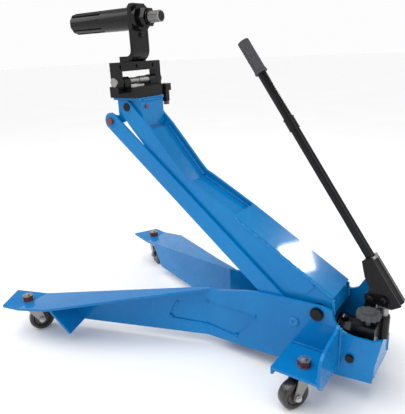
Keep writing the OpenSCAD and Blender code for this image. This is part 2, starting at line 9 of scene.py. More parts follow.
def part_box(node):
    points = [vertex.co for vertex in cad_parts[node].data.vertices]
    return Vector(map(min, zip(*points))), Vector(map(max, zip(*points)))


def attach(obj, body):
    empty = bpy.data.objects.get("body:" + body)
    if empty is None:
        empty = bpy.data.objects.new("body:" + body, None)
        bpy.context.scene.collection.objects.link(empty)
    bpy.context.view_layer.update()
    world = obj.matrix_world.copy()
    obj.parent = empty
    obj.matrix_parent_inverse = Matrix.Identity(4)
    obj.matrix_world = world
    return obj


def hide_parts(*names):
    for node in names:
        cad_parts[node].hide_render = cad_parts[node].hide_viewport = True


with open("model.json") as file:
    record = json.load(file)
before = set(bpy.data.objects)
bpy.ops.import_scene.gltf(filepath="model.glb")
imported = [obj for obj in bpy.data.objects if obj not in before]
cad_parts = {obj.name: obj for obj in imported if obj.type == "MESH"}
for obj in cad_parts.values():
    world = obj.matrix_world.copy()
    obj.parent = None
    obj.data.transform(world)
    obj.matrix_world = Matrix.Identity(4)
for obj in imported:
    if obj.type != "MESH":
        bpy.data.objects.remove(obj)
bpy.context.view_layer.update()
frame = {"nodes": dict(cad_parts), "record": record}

bl_info = {
    "name": "Clutch Jack",
    "version": (1, 0, 0),
    "blender": (4, 5, 0),
    "location": "View3D > Sidebar > Clutch Jack",
    "description": "Finishes, welds, fittings and a small studio for a truck clutch jack",
    "category": "Object",
}

MM = 0.001
Z_AXIS = Vector((0, 0, 1))

# Which finish each CAD node takes. A node that isn't named here is painted blue.
BLACK_PAINT_NODES = (
    "main_pivot_shaft", "pump_mount_bolts", "pump_block", "reservoir", "filler_plug",
    "fulcrum_post", "head_pivot_pin", "swivel_base", "tilt_yoke", "gooseneck",
    "mandrel_collar", "mandrel", "mandrel_nut", "handle_socket", "handle_cheeks",
    "handle_lower_tube", "handle_upper_tube", "handle_pins", "yoke_screws",
)
ZINC_NODES = (
    "ram_rod", "ram_head", "ram_cross_pin", "swivel_king_bolt",
)
DULL_STEEL_NODES = (
    "caster_races", "ram_cylinder", "pump_plunger", "tilt_pin",
    "fork_front_right", "fork_front_left", "fork_rear_right", "fork_rear_left",
)
RED_BOLT_NODES = ("link_front_bolts", "swivel_lock_bolt")
WHEEL_NODES = ("wheel_front_right", "wheel_front_left", "wheel_rear_right", "wheel_rear_left")


# ---------------------------------------------------------------- settings

class JackFinishSettings(bpy.types.PropertyGroup):
    blue: FloatVectorProperty(
        name="Blue paint", description="Colour of the painted steelwork", subtype="COLOR",
        default=(0.0018, 0.205, 0.520), min=0, max=1)
    deep_blue: FloatVectorProperty(
        name="Thin blue", description="Colour where the paint lies thin", subtype="COLOR",
        default=(0.0012, 0.160, 0.440), min=0, max=1)
    black: FloatVectorProperty(
        name="Black paint", description="Colour of the head, pump and handle", subtype="COLOR",
        default=(0.004, 0.004, 0.005), min=0, max=1)
    zinc: FloatVectorProperty(
        name="Zinc", description="Colour of the plated nuts and pins", subtype="COLOR",
        default=(0.62, 0.60, 0.57), min=0, max=1)
    rust: FloatVectorProperty(
        name="Red bolts", description="Colour of the red-brown bolts", subtype="COLOR",
        default=(0.16, 0.030, 0.022), min=0, max=1)
    floor: FloatVectorProperty(
        name="Floor", description="Colour of the studio floor", subtype="COLOR",
        default=(0.92, 0.92, 0.92), min=0, max=1)


class JackDetailSettings(bpy.types.PropertyGroup):
    edge_round: FloatProperty(
        name="Edge rounding", description="Width of the rounding on the steel edges",
        default=0.9 * MM, min=0, max=0.003, unit="LENGTH")
    bead_radius: FloatProperty(
        name="Weld bead", description="Radius of a weld bead",
        default=4.2 * MM, min=0.001, max=0.006, unit="LENGTH")
    bead_pitch: FloatProperty(
        name="Weld ripple", description="Distance between the ripples of a weld bead",
        default=3.0 * MM, min=0.001, max=0.01, unit="LENGTH")
    thread_pitch: FloatProperty(
        name="Thread pitch", description="Distance between two thread crests",
        default=1.75 * MM, min=0.0005, max=0.004, unit="LENGTH")
    grip_ribs: IntProperty(
        name="Grip ribs", description="Number of ribs round the rubber grip",
        default=15, min=4, max=40)


class JackStageSettings(bpy.types.PropertyGroup):
    azimuth: FloatProperty(
        name="Camera azimuth", description="Direction of the camera round the jack",
        default=math.radians(126.17), unit="ROTATION")
    elevation: FloatProperty(
        name="Camera elevation", description="Height angle of the camera",
        default=math.radians(18.88), unit="ROTATION")
    roll: FloatProperty(
        name="Camera roll", description="Tilt of the camera about its own axis",
        default=math.radians(-2.77), unit="ROTATION")
    lens: FloatProperty(
        name="Lens", description="Focal length of the camera in millimetres",
        default=39.86, min=10, max=200)
    location: FloatVectorProperty(
        name="Camera place", description="Where the camera stands", subtype="XYZ",
        unit="LENGTH", default=(0.8376, 0.616, 0.690))


# ---------------------------------------------------------------- shader helpers

class NodeTree:
    """A material's nodes, with short calls for the kinds that the finishes use."""

    def __init__(self, name):
        self.material = bpy.data.materials.new(name)
        self.material.use_nodes = True
        self.nodes = self.material.node_tree.nodes
        self.links = self.material.node_tree.links
        self.shader = self.nodes["Principled BSDF"]
        self.place = self.nodes.new("ShaderNodeTexCoord").outputs["Object"]

    def join(self, source, target):
        self.links.new(source, target)

    def stretched(self, scale):
        """Object coordinates scaled by a vector, for grain that runs one way."""
        mapping = self.nodes.new("ShaderNodeMapping")
        mapping.inputs["Scale"].default_value = scale
        self.join(self.place, mapping.inputs["Vector"])
        return mapping.outputs["Vector"]

    def noise(self, scale, detail=3.0, vector=None, roughness=0.5):
        noise = self.nodes.new("ShaderNodeTexNoise")
        noise.inputs["Scale"].default_value = scale
        noise.inputs["Detail"].default_value = detail
        noise.inputs["Roughness"].default_value = roughness
        self.join(vector or self.place, noise.inputs["Vector"])
        return noise.outputs["Fac"]

    def cells(self, scale):
        cells = self.nodes.new("ShaderNodeTexVoronoi")
        cells.inputs["Scale"].default_value = scale
        self.join(self.place, cells.inputs["Vector"])
        return cells.outputs["Distance"]

    def band(self, source, low, high, out_low=0.0, out_high=1.0):
        """Source between low and high, stretched to out_low and out_high."""
        band = self.nodes.new("ShaderNodeMapRange")
        band.inputs["From Min"].default_value = low
        band.inputs["From Max"].default_value = high
        band.inputs["To Min"].default_value = out_low
        band.inputs["To Max"].default_value = out_high
        self.join(source, band.inputs["Value"])
        return band.outputs["Result"]

    def blend(self, share, first, second):
        """Colour first where share is 0 and second where it is 1."""
        mix = self.nodes.new("ShaderNodeMix")
        mix.data_type = "RGBA"
        for socket, value in ((mix.inputs[6], first), (mix.inputs[7], second)):
            if isinstance(value, bpy.types.NodeSocket):
                self.join(value, socket)
            else:
                socket.default_value = (*value, 1.0)
        self.join(share, mix.inputs[0])
        return mix.outputs[2]

    def bump(self, height, strength, distance):
        bump = self.nodes.new("ShaderNodeBump")
        bump.inputs["Strength"].default_value = strength
        bump.inputs["Distance"].default_value = distance
        self.join(height, bump.inputs["Height"])
        self.join(bump.outputs["Normal"], self.shader.inputs["Normal"])

    def finish(self, colour, roughness, metallic=0.0, coat=0.0, coat_roughness=0.1, sheen=0.5):
        self.join(colour, self.shader.inputs["Base Color"])
        self.join(roughness, self.shader.inputs["Roughness"])
        self.shader.inputs["Metallic"].default_value = metallic
        self.shader.inputs["Specular IOR Level"].default_value = sheen
        self.shader.inputs["Coat Weight"].default_value = coat
        self.shader.inputs["Coat Roughness"].default_value = coat_roughness
        return self.material


def dimmed(colour, share):
    """A colour made darker by a share, kept as three plain numbers."""
    return tuple(channel * share for channel in colour)


def blue_enamel(colours):
    """Thick gloss enamel: runs of thinner paint, orange peel and a few dull scuffs."""
    tree = NodeTree("blue_enamel")
    runs = tree.band(tree.noise(5.0, 4.0), 0.35, 0.70)
    body = tree.blend(runs, tuple(colours.blue), tuple(colours.deep_blue))
    scuffs = tree.band(tree.noise(26.0, 8.0, roughness=0.68), 0.68, 0.76, 0.0, 0.25)
    colour = tree.blend(scuffs, body, dimmed(colours.deep_blue, 0.45))
    roughness = tree.band(tree.noise(40.0, 5.0), 0.3, 0.75, 0.16, 0.36)
    tree.bump(tree.noise(60.0, 3.0), 0.14, 0.8 * MM)
    return tree.finish(colour, roughness, coat=0.38, coat_roughness=0.06, sheen=0.10)


def black_enamel(colours):
    """Gloss black paint with grey dust and rubbed spots."""
    tree = NodeTree("black_enamel")
    dust = tree.band(tree.noise(18.0, 6.0), 0.50, 0.85, 0.0, 0.16)
    colour = tree.blend(dust, tuple(colours.black), (0.030, 0.030, 0.034))
    roughness = tree.band(tree.noise(60.0, 5.0), 0.3, 0.75, 0.20, 0.42)
    tree.bump(tree.noise(260.0, 2.0), 0.12, 0.3 * MM)
    return tree.finish(colour, roughness, coat=0.30, coat_roughness=0.08, sheen=0.10)


def zinc_plate(colours):
    """Bright zinc with fine turning marks and dull blotches."""
    tree = NodeTree("zinc_plate")
    marks = tree.noise(90.0, 4.0, tree.stretched((1.0, 1.0, 9.0)))
    blotch = tree.band(tree.noise(70.0, 4.0), 0.40, 0.75, 0.0, 0.7)
    colour = tree.blend(blotch, tuple(colours.zinc), dimmed(colours.zinc, 0.55))
    tree.bump(marks, 0.10, 0.2 * MM)
    return tree.finish(colour, tree.band(marks, 0.3, 0.7, 0.22, 0.45), metallic=0.92)


def dull_steel(colours):
    """Pressed steel with a dark, slightly oily skin."""
    tree = NodeTree("dull_steel")
    skin = tree.band(tree.noise(34.0, 6.0), 0.35, 0.75)
    colour = tree.blend(skin, dimmed(colours.zinc, 0.62), dimmed(colours.zinc, 0.30))
    tree.bump(tree.noise(300.0, 3.0), 0.12, 0.2 * MM)
    return tree.finish(colour, tree.band(skin, 0.0, 1.0, 0.34, 0.55), metallic=0.85)


def red_bolt(colours):
    """Red-brown painted bolt with bare spots on it."""
    tree = NodeTree("red_bolt")
    bare = tree.band(tree.noise(160.0, 6.0), 0.62, 0.70, 0.0, 0.5)
    colour = tree.blend(bare, tuple(colours.rust), (0.30, 0.22, 0.20))
    tree.bump(tree.noise(240.0, 3.0), 0.15, 0.2 * MM)
    return tree.finish(colour, tree.band(bare, 0.0, 0.5, 0.45, 0.30), metallic=0.25)


def painted_nut(colours):
    """Nut with red-brown flanks whose top face is ground bright."""
    tree = NodeTree("painted_nut")
    facing = tree.nodes.new("ShaderNodeSeparateXYZ")
    coordinates = tree.place.node
    tree.join(coordinates.outputs["Normal"], facing.inputs[0])
    top = tree.band(facing.outputs["Z"], 0.55, 0.80)
    blotch = tree.band(tree.noise(90.0, 5.0), 0.40, 0.75)
    flank = tree.blend(blotch, tuple(colours.rust), (0.075, 0.030, 0.030))
    bright = tree.blend(blotch, tuple(colours.zinc), dimmed(colours.zinc, 0.62))
    tree.bump(tree.noise(260.0, 3.0), 0.12, 0.2 * MM)
    tree.join(tree.band(top, 0.0, 1.0, 0.15, 0.90), tree.shader.inputs["Metallic"])
    return tree.finish(tree.blend(top, flank, bright), tree.band(top, 0.0, 1.0, 0.42, 0.28))


def weld_metal(colours):
    """Paint lying over a rippled weld: a little darker and rougher than the plate."""
    tree = NodeTree("weld_metal")
    spatter = tree.band(tree.noise(220.0, 5.0), 0.45, 0.75)
    colour = tree.blend(spatter, tuple(colours.blue), dimmed(colours.deep_blue, 0.75))
    tree.bump(tree.noise(480.0, 4.0), 0.25, 0.3 * MM)
    return tree.finish(colour, tree.band(spatter, 0.0, 1.0, 0.22, 0.40), coat=0.2, sheen=0.3)


def wheel_resin(_colours):
    """Dark moulded wheel with a brown cast and rolled-in dust."""
    tree = NodeTree("wheel_resin")
    dust = tree.band(tree.noise(55.0, 6.0), 0.45, 0.80, 0.0, 0.5)
    colour = tree.blend(dust, (0.016, 0.011, 0.009), (0.070, 0.058, 0.050))
    tree.bump(tree.noise(420.0, 3.0), 0.10, 0.2 * MM)
    return tree.finish(colour, tree.band(dust, 0.0, 0.5, 0.18, 0.42), coat=0.3)


def grip_rubber(_colours):
    """Grey-black rubber with a fine moulded grain."""
    tree = NodeTree("grip_rubber")
    worn = tree.band(tree.noise(60.0, 5.0), 0.40, 0.75)
    colour = tree.blend(worn, (0.050, 0.053, 0.058), (0.115, 0.118, 0.122))
    tree.bump(tree.cells(900.0), 0.25, 0.2 * MM)
    return tree.finish(colour, tree.band(worn, 0.0, 1.0, 0.50, 0.70))


def knob_plastic(_colours):
    """Grey moulded plastic with a satin skin."""
    tree = NodeTree("knob_plastic")
    worn = tree.band(tree.noise(48.0, 5.0), 0.40, 0.75)
    colour = tree.blend(worn, (0.055, 0.060, 0.066), (0.095, 0.100, 0.108))
    tree.bump(tree.noise(700.0, 2.0), 0.15, 0.1 * MM)
    return tree.finish(colour, tree.band(worn, 0.0, 1.0, 0.32, 0.50))


def pale_floor(colours):
    """Even pale floor with the faintest mottling."""
    tree = NodeTree("pale_floor")
    mottle = tree.band(tree.noise(2.0, 3.0), 0.3, 0.7)
    colour = tree.blend(mottle, tuple(colours.floor), dimmed(colours.floor, 0.98))
    return tree.finish(colour, tree.band(mottle, 0.0, 1.0, 0.90, 1.0), sheen=0.0)


FINISHES = {
    "blue_paint": blue_enamel,
    "black_paint": black_enamel,
    "zinc_steel": zinc_plate,
    "dull_steel": dull_steel,
    "red_bolt": red_bolt,
    "nut": painted_nut,
    "weld": weld_metal,
    "wheel_plastic": wheel_resin,
    "grip_rubber": grip_rubber,
    "knob_plastic": knob_plastic,
}


def finish_named(slot):
    """The material of a record slot, made on first use."""
    name = FINISHES[slot].__name__
    if name not in bpy.data.materials:
        FINISHES[slot](bpy.context.scene.jack_finish)
    return bpy.data.materials[name]


def dress(piece, slot, body, finish=None):
    """Gives a new piece its finish and ties it to its body."""
    piece.data.materials.clear()
    piece.data.materials.append(finish_named(finish or slot))
    smooth(piece)
    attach(piece, body)


# ---------------------------------------------------------------- mesh helpers

def deselect():
    """Leaves edit mode and clears the selection."""
    if bpy.context.object and bpy.context.object.mode != "OBJECT":
        bpy.ops.object.mode_set(mode="OBJECT")
    bpy.ops.object.select_all(action="DESELECT")


def named(name):
    """Names the active object and its mesh alike."""
    piece = bpy.context.object
    piece.name = name
    piece.data.name = name
    return piece


def pick(piece, kind, test):
    """In edit mode, selects the vertices, edges or faces whose middle passes the test."""
    bpy.ops.object.mode_set(mode="EDIT")
    bpy.ops.mesh.select_mode(type={"vertices": "VERT", "edges": "EDGE", "polygons": "FACE"}[kind])
    bpy.ops.mesh.select_all(action="DESELECT")
    bpy.ops.object.mode_set(mode="OBJECT")
    mesh = piece.data
    for item in getattr(mesh, kind):
        if kind == "vertices":
            item.select = test(item.co)
        elif kind == "edges":
            ends = [mesh.vertices[i].co for i in item.vertices]
            item.select = test(ends[0], ends[1])
        else:
            item.select = test(item.center, item.normal)
    bpy.ops.object.mode_set(mode="EDIT")


def settle(piece, start, along):
    """Turns a piece built up along +Z to run along a direction from start, and applies it."""
    bpy.ops.object.mode_set(mode="OBJECT")
    piece.rotation_mode = "QUATERNION"
    piece.rotation_quaternion = Z_AXIS.rotation_difference(along.normalized())
    piece.location = start
    deselect()
    piece.select_set(True)
    bpy.context.view_layer.objects.active = piece
    bpy.ops.object.transform_apply(location=True, rotation=True, scale=True)


def smooth(piece, angle=math.radians(40)):
    deselect()
    piece.select_set(True)
    bpy.context.view_layer.objects.active = piece
    bpy.ops.object.shade_smooth_by_angle(angle=angle)


def join_all(pieces, name):
    """Joins pieces into one that keeps the name."""
    deselect()
    for piece in pieces:
        piece.select_set(True)
    bpy.context.view_layer.objects.active = pieces[0]
    if len(pieces) > 1:
        bpy.ops.object.join()
    return named(name)


def ribbed_bar(start, end, radius, pitch, depth, sides=16, taper=1.0):
    """A bar whose rings rise and sink by depth, as a thread, a rib or a weld ripple does."""
    start, end = Vector(start), Vector(end)
    length = (end - start).length
    ribs = max(2, round(length / pitch))
    deselect()
    bpy.ops.mesh.primitive_cylinder_add(
        vertices=sides, radius=radius, depth=length, location=(0, 0, length / 2))
    bar = named("bar")
    bpy.ops.object.transform_apply(location=True, rotation=False, scale=False)
    pick(bar, "edges", lambda a, b: abs(a.z - b.z) > length / 2)
    bpy.ops.mesh.subdivide(number_cuts=2 * ribs - 1)
    step = length / (2 * ribs)
    pick(bar, "vertices", lambda co: round(co.z / step) % 2 == 0)
    shrink = 1 - depth / radius
    bpy.ops.transform.resize(value=(shrink, shrink, 1), center_override=(0, 0, 0))
    if taper < 1:
        pick(bar, "vertices", lambda co: co.z < step / 2 or co.z > length - step / 2)
        bpy.ops.transform.resize(value=(taper, taper, 1), center_override=(0, 0, length / 2))
    settle(bar, start, end - start)
    return bar


def chamfered_hex(base, along, flats, height, chamfer=1.4 * MM):
    """A hexagon head or nut whose outer corners are turned down, standing on base."""
    deselect()
    bpy.ops.mesh.primitive_cylinder_add(
        vertices=6, radius=flats / math.sqrt(3), depth=height, location=(0, 0, height / 2))
    head = named("hex")
    bpy.ops.object.transform_apply(location=True, rotation=False, scale=False)
    pick(head, "polygons", lambda middle, normal: normal.z > 0.9)
    bpy.ops.mesh.inset(thickness=chamfer, depth=0)
    pick(head, "vertices",
         lambda co: co.z > height - 1e-6 and math.hypot(co.x, co.y) > flats * 0.52)
    bpy.ops.transform.translate(value=(0, 0, -chamfer * 0.6))
    bpy.ops.mesh.select_all(action="SELECT")
    bpy.ops.mesh.bevel(offset=0.35 * MM, segments=2, affect="EDGES")
    settle(head, Vector(base), Vector(along))
    return head


def turned_ring(middle, along, inner, outer, height, bevel=0.6 * MM, sides=40):
    """A flat ring about an axis, with its edges broken, standing on its middle point."""
    deselect()
    bpy.ops.mesh.primitive_cylinder_add(
        vertices=sides, radius=outer, depth=height, location=(0, 0, height / 2))
    ring = named("ring")
    bpy.ops.object.transform_apply(location=True, rotation=False, scale=False)
    pick(ring, "polygons", lambda centre, normal: abs(normal.z) > 0.9)
    bpy.ops.mesh.inset(thickness=outer - inner, depth=0)
    bpy.ops.mesh.bridge_edge_loops()
    pick(ring, "edges", lambda a, b: abs(a.z - b.z) < 1e-7
         and abs(math.hypot(a.x, a.y) - math.hypot(b.x, b.y)) < 1e-3 * outer)
    bpy.ops.mesh.bevel(offset=bevel, segments=2, affect="EDGES")
    bpy.ops.mesh.select_all(action="SELECT")
    bpy.ops.mesh.normals_make_consistent(inside=False)
    settle(ring, Vector(middle), Vector(along))
    return ring


# ---------------------------------------------------------------- places on the jack

# Millimetres, as in the part's source. Z values are heights above the floor.
PIVOT = Vector((0, 320, 175)) * MM
ARM_ANGLE = math.radians(38.8)
HANDLE_FOOT = Vector((-16, 456.3, 201.7)) * MM
HANDLE_LEAN = math.radians(34.4)
LEG_X = 58
ARM_X = 44
EAR_INNER_X = 31
NECK_SIDE_X = 26.4
BEND_Y = 43
SPLAY = math.radians(19.6)
GUARD_Y = -276
GUARD_LEAN = math.radians(28)
OUTRIGGER = (268, 359)
DECK_Z = 91
HEAD_UNDER_Z = 585.5
NECK_FOOT_Z = 672.5
BLOCK_X = 42
RAM_Z = 118
FULCRUM = (406, 209)
PLUNGER_PIN = (431.7, 212.6)
KNOB = (29.5, 413)
STEM_END = (0.1030, 0.1078)
AXLE_HALF = 19.4
MANDREL_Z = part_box("mandrel_collar")[0][2] / 2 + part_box("mandrel_collar")[1][2] / 2


def at(x, y, z):
    """A point in metres from millimetres."""
    return Vector((x, y, z)) * MM


def on_arm(along, above, x):
    """A point in the lift arm's own measures, in millimetres from the main pivot."""
    turn, rise = math.cos(ARM_ANGLE), math.sin(ARM_ANGLE)
    return PIVOT + at(x, -along * turn + above * rise, along * rise + above * turn)


def on_handle(along, side=0.0, x=0.0):
    """A point in millimetres along the handle from its foot, and to its rear side."""
    lean, rise = math.sin(HANDLE_LEAN), math.cos(HANDLE_LEAN)
    return HANDLE_FOOT + at(x, -along * lean + side * rise, along * rise + side * lean)


def bead(start, end, share):
    """A weld bead between two points; share scales its radius."""
    detail = bpy.context.scene.jack_detail
    radius = detail.bead_radius * share
    return ribbed_bar(start, end, radius, detail.bead_pitch, radius * 0.22, sides=12, taper=0.45)


def guard_root(side, rise):
    """A point up the joint between a caster guard and its leg, rise millimetres up the plate."""
    run = rise * math.sin(GUARD_LEAN)
    foot_x = LEG_X + (BEND_Y - GUARD_Y) * math.tan(SPLAY)
    return at(side * (foot_x + run * math.sin(SPLAY)),
              GUARD_Y - run * math.cos(SPLAY), 29 + rise * math.cos(GUARD_LEAN))


def handle_direction():
    return (on_handle(1) - on_handle(0)).normalized()


# ---------------------------------------------------------------- operators

class JACK_OT_stage(bpy.types.Operator):
    """Lay the floor, hang the lights and set the camera"""
    bl_idname = "jack.stage"
    bl_label = "Stage"

    def execute(self, context):
        deselect()
        bpy.ops.mesh.primitive_plane_add(size=1, location=(0, 0, 0))
        floor = named("floor")
        pick(floor, "polygons", lambda middle, normal: True)
        bpy.ops.transform.resize(value=(60, 60, 1), center_override=(0, 0, 0))
        bpy.ops.mesh.subdivide(number_cuts=5)
        bpy.ops.object.mode_set(mode="OBJECT")
        floor.data.materials.append(pale_floor(context.scene.jack_finish))
        self.light("key", (-1.67, 0.66, 1.34), 0.20, 5)
        self.light("fill", (0.6, 2.4, 1.6), 1.6, 14)
        self.light("front", (0.8, -2.2, 1.8), 1.4, 14)
        bpy.ops.object.light_add(type="SUN", rotation=(math.radians(14), math.radians(18), 0))
        sun = bpy.context.object
        sun.name = "sky_light"
        sun.data.energy = 2.1
        sun.data.angle = math.radians(60)
        context.scene.world = self.dome()
        context.scene.view_settings.view_transform = "Standard"
        self.camera(context)
        return {"FINISHED"}

    def dome(self):
        """A white room: bright at the horizon, dimmer overhead."""
        world = bpy.data.worlds.new("studio")
        world.use_nodes = True
        nodes, links = world.node_tree.nodes, world.node_tree.links
        height = nodes.new("ShaderNodeSeparateXYZ")
        links.new(nodes.new("ShaderNodeTexCoord").outputs["Generated"], height.inputs[0])
        fade = nodes.new("ShaderNodeMapRange")
        fade.inputs["From Min"].default_value = 0.14
        fade.inputs["From Max"].default_value = 0.45
        fade.inputs["To Min"].default_value = 0.98
        fade.inputs["To Max"].default_value = 0.36
        links.new(height.outputs["Z"], fade.inputs["Value"])
        background = nodes["Background"]
        background.inputs["Color"].default_value = (1.0, 1.0, 1.0, 1.0)
        links.new(fade.outputs["Result"], background.inputs["Strength"])
        return world

    def light(self, name, place, size, power):
        deselect()
        bpy.ops.object.light_add(type="AREA", location=place)
        lamp = bpy.context.object
        lamp.name = name
        lamp.data.size = size
        lamp.data.energy = power
        aim = Vector((0, 0, 0.3)) - Vector(place)
        lamp.rotation_euler = aim.to_track_quat("-Z", "Y").to_euler()

    def camera(self, context):
        stage = context.scene.jack_stage
        deselect()
        bpy.ops.object.camera_add()
        camera = bpy.context.object
        camera.name = "camera"
        camera.data.lens = stage.lens
        turn, rise, roll = stage.azimuth, stage.elevation, stage.roll
        level = math.cos(rise)
        back = Vector((math.sin(turn) * level, -math.cos(turn) * level, math.sin(rise)))
        right = Vector((math.cos(turn), math.sin(turn), 0))
        up = back.cross(right)
        tilted_right = right * math.cos(roll) + up * math.sin(roll)
        tilted_up = up * math.cos(roll) - right * math.sin(roll)
        camera.matrix_world = Matrix.Translation(stage.location) @ Matrix(
            (tilted_right, tilted_up, back)).transposed().to_4x4()
        context.scene.camera = camera


class JACK_OT_finishes(bpy.types.Operator):
    """Paint every CAD node and round its edges"""
    bl_idname = "jack.finishes"
    bl_label = "Paint and round the steelwork"

    def execute(self, context):
        rounding = context.scene.jack_detail.edge_round
        for name, node in frame["nodes"].items():
            node.data.materials.clear()
            node.data.materials.append(finish_named(self.slot_of(name)))
            flat = node.modifiers.new("merge_flats", "DECIMATE")
            flat.decimate_type = "DISSOLVE"
            flat.angle_limit = math.radians(0.4)
            edge = node.modifiers.new("round_edges", "BEVEL")
            edge.width = rounding
            edge.segments = 2
            edge.limit_method = "ANGLE"
            edge.angle_limit = math.radians(38)
            edge.harden_normals = False
            smooth(node)
        return {"FINISHED"}

    def slot_of(self, name):
        groups = (
            ("black_paint", BLACK_PAINT_NODES), ("zinc_steel", ZINC_NODES),
            ("nut", ("caster_nuts",)),
            ("dull_steel", DULL_STEEL_NODES), ("red_bolt", RED_BOLT_NODES),
            ("wheel_plastic", WHEEL_NODES), ("grip_rubber", ("handle_grip",)),
            ("knob_plastic", ("release_knob",)),
        )
        for slot, names in groups:
            if name in names:
                return slot
        return "blue_paint"


class JACK_OT_grip(bpy.types.Operator):
    """Mould the ribbed rubber grip and its two end rings"""
    bl_idname = "jack.grip"
    bl_label = "Rubber grip"

    def execute(self, context):
        ribs = context.scene.jack_detail.grip_ribs
        start, end, along = on_handle(537), on_handle(603), handle_direction()
        pitch = (end - start).length / ribs
        grip = join_all([
            ribbed_bar(start, end, 12.6 * MM, pitch, 1.1 * MM, sides=40),
            turned_ring(on_handle(532), along, 9.6 * MM, 13.4 * MM, 5 * MM),
            turned_ring(on_handle(603), along, 4.0 * MM, 12.2 * MM, 4 * MM, 1.2 * MM),
            ribbed_bar(on_handle(600), on_handle(606), 6 * MM, 2 * MM, 0.1 * MM, sides=24),
        ], "ribbed_grip")
        dress(grip, "grip_rubber", "tube")
        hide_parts("handle_grip")
        return {"FINISHED"}


class JACK_OT_handle_fittings(bpy.types.Operator):
    """Fit the bright ring on the socket, the tube coupling and the pivot nuts"""
    bl_idname = "jack.handle_fittings"
    bl_label = "Handle fittings"

    def execute(self, context):
        along = handle_direction()
        ring = turned_ring(on_handle(101), along, 9.7 * MM, 14.4 * MM, 6 * MM, 1.2 * MM)
        ring.name = ring.data.name = "socket_ring"
        dress(ring, "dull_steel", "handle")
        coupling = join_all([
            turned_ring(on_handle(399), along, 9.7 * MM, 11.8 * MM, 3 * MM),
            turned_ring(on_handle(423), along, 9.7 * MM, 11.8 * MM, 3 * MM),
        ], "coupling_rings")
        dress(coupling, "black_paint", "tube")
        nuts = []
        for (y, z), flats in ((FULCRUM, 12), (PLUNGER_PIN, 10.5)):
            nuts.append(chamfered_hex(at(3, y, z), (1, 0, 0), flats * MM, 4 * MM))
            nuts.append(chamfered_hex(at(-35, y, z), (-1, 0, 0), flats * MM, 4 * MM))
        dress(join_all(nuts, "handle_pin_nuts"), "black_paint", "handle")
        return {"FINISHED"}


class JACK_OT_arm_welds(bpy.types.Operator):
    """Run the weld beads along the edges of the lift arm"""
    bl_idname = "jack.arm_welds"
    bl_label = "Arm welds"

    def execute(self, context):
        beads = []
        for x in (-ARM_X, ARM_X):
            beads.append(bead(on_arm(262, 6, x), on_arm(4, 43.5, x), 0.8))
            beads.append(bead(on_arm(0, 43, x), on_arm(-23, 19, x), 0.8))
            beads.append(bead(on_arm(58, 33, x * 1.045), on_arm(250, 6, x * 1.045), 0.45))
        for x in (-37, 37):
            beads.append(bead(on_arm(264, -1, x), on_arm(400, -30.5, x), 0.8))
            beads.append(bead(on_arm(404, -30.5, x), on_arm(554, -5, x), 0.8))
        dress(join_all(beads, "arm_weld_beads"), "blue_paint", "arm", "weld")
        return {"FINISHED"}


class JACK_OT_base_welds(bpy.types.Operator):
    """Run the weld beads that join the legs, guards, outriggers and gussets"""
    bl_idname = "jack.base_welds"
    bl_label = "Base welds"

    def execute(self, context):
        beads = []
        front, rear = OUTRIGGER
        for side in (-1, 1):
            web = side * (LEG_X + 1)
            beads += [
                bead(at(web, 369, 70), at(web, 369, 160), 1.0),
                bead(at(side * 60, 361, DECK_Z), at(side * 154, 361, DECK_Z), 1.0),
                bead(at(web, front, DECK_Z), at(web, rear, DECK_Z), 1.0),
                bead(at(web, front, DECK_Z - 8), at(web, rear, DECK_Z - 8), 0.8),
                bead(at(side * 52, 435, 64), at(side * 52, 435, 108), 0.8),
                bead(at(side * 52, 64, 42), at(side * 52, 110, 42), 0.8),
            ]
            low, high = guard_root(side, 4), guard_root(side, 66)
            beads.append(bead(low, high, 0.9))
        for side in (-1, 1):
            for y, z in ((-26, 111), (47, 123), (176, 124), (126, 54), (-44, 69)):
                lean = side * max(0, BEND_Y - y) * math.tan(SPLAY)
                spot = at(side * 57.2 + lean, y, z)
                beads.append(bead(spot - at(0, 4, 0), spot + at(0, 4, 0), 1.0))
            beads.append(turned_ring(at(side * 57.8, 270, 141), (side, 0, 0),
                                     3 * MM, 11 * MM, 2.6 * MM, 1.2 * MM))
        dress(join_all(beads, "base_weld_beads"), "blue_paint", "base", "weld")
        return {"FINISHED"}


class JACK_OT_head_welds(bpy.types.Operator):
    """Run the weld beads of the level head and of the gooseneck"""
    bl_idname = "jack.head_welds"
    bl_label = "Head welds"

    def execute(self, context):
        beads = []
        for x in (-EAR_INNER_X, EAR_INNER_X):
            beads.append(bead(at(x, -203, HEAD_UNDER_Z), at(x, -137, HEAD_UNDER_Z), 0.8))
        beads.append(bead(at(-34, -127.6, HEAD_UNDER_Z), at(34, -127.6, HEAD_UNDER_Z), 0.8))
        dress(join_all(beads, "head_weld_beads"), "blue_paint", "head", "weld")
        beads = [bead(at(-24, -198, NECK_FOOT_Z), at(24, -198, NECK_FOOT_Z), 0.9)]
        for x in (-NECK_SIDE_X, NECK_SIDE_X):
            beads.append(bead(at(x, -196, NECK_FOOT_Z), at(x, -164, NECK_FOOT_Z), 0.8))
        dress(join_all(beads, "neck_weld_beads"), "black_paint", "yoke")
        return {"FINISHED"}


